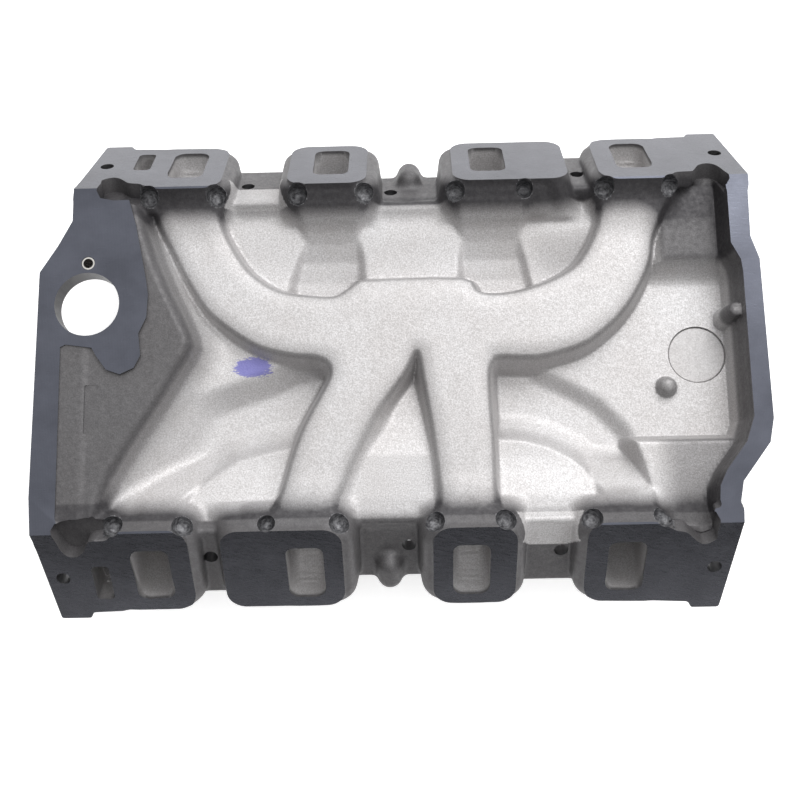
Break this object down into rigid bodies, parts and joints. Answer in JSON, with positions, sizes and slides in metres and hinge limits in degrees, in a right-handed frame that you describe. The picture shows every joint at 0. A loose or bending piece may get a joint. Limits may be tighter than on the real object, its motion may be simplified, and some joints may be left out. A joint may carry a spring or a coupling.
{
  "type": "intake manifold",
  "caption": "Cast dual-plane intake manifold for a V engine, with a four-barrel carburettor flange, a water crossover, thread inserts, pipe plugs and a hose nipple",
  "frame": {"origin": "middle of the carburettor face, on which the manifold stands upside down, as it is laid for inspection", "axes": "+X to the rear of the engine (away from the distributor hole), +Z out of the carburettor face towards the engine's valley, +Y to the bank whose face looks along +Y and +Z"},
  "size_m": [0.58, 0.408, 0.124],
  "materials": {
    "casting": "shot-blasted sand casting with machined, satin joint faces",
    "inserts": "bright stainless thread inserts",
    "plugs": "turned pipe plugs, slightly dull",
    "nipple": "zinc-plated steel tube",
    "core_plug": "smooth pressed cap, satin"
  },
  "bodies": {
    "root": {"manifold_casting": "casting", "carburettor_thread_insert_1": "inserts", "carburettor_thread_insert_2": "inserts", "carburettor_thread_insert_3": "inserts", "carburettor_thread_insert_4": "inserts", "thermostat_thread_insert_1": "inserts", "thermostat_thread_insert_2": "inserts", "distributor_clamp_thread_insert": "inserts", "temperature_sender_plug": "plugs", "heater_outlet_plug": "plugs", "front_vacuum_plug": "plugs", "rear_vacuum_plug": "plugs", "bypass_hose_nipple": "nipple", "rear_core_plug": "core_plug"}
  },
  "joints": []
}
